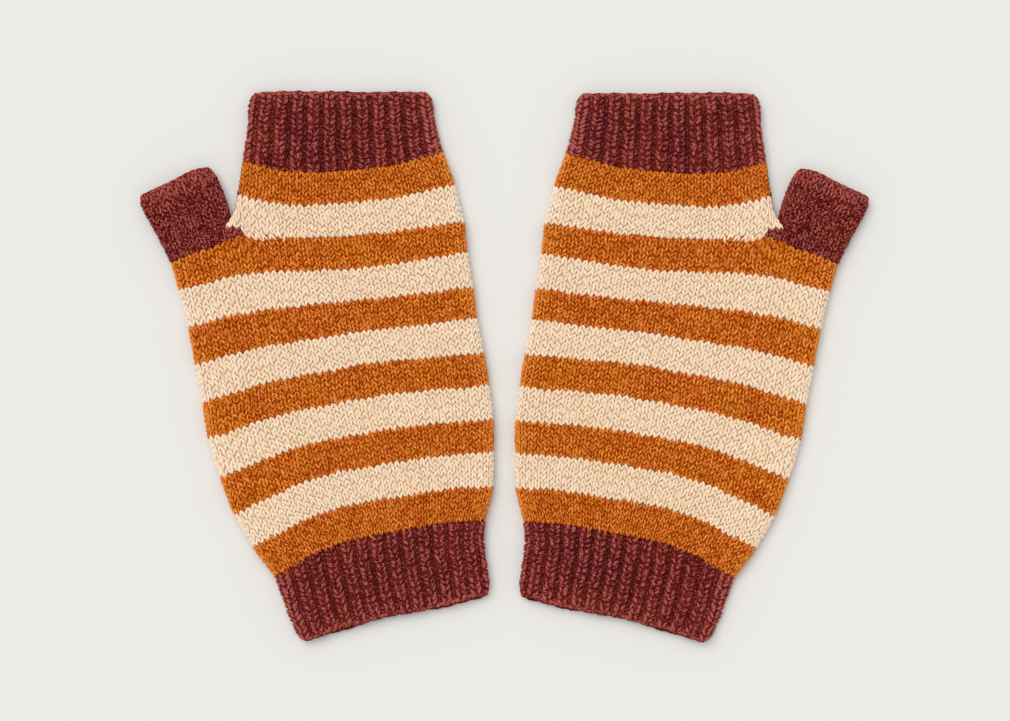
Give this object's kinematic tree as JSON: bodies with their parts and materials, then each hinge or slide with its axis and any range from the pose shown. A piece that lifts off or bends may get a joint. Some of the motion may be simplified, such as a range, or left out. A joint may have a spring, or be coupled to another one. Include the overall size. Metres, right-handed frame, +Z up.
{
  "type": "pair of wrist warmers",
  "caption": "Pair of fingerless knitted wrist warmers lying flat, with mustard and cream stripes, ribbed burgundy cuffs and plain burgundy thumb tubes.",
  "frame": {"origin": "middle of the pair's footprint, on the surface it lies on", "axes": "+X from the left warmer to the right one as seen from above, +Y towards the fingers, +Z up out of the surface"},
  "size_m": [0.2616, 0.198, 0.0058],
  "materials": {
    "burgundy_wool": "matt knitted wool",
    "mustard_wool": "matt knitted wool",
    "cream_wool": "matt knitted wool"
  },
  "bodies": {
    "root": {"left_hand_rib": "burgundy_wool", "left_hand": "cream_wool", "left_palm": "mustard_wool", "left_wrist_rib": "burgundy_wool", "left_thumb": "burgundy_wool", "right_hand_rib": "burgundy_wool", "right_hand": "cream_wool", "right_palm": "mustard_wool", "right_wrist_rib": "burgundy_wool", "right_thumb": "burgundy_wool"}
  },
  "joints": []
}
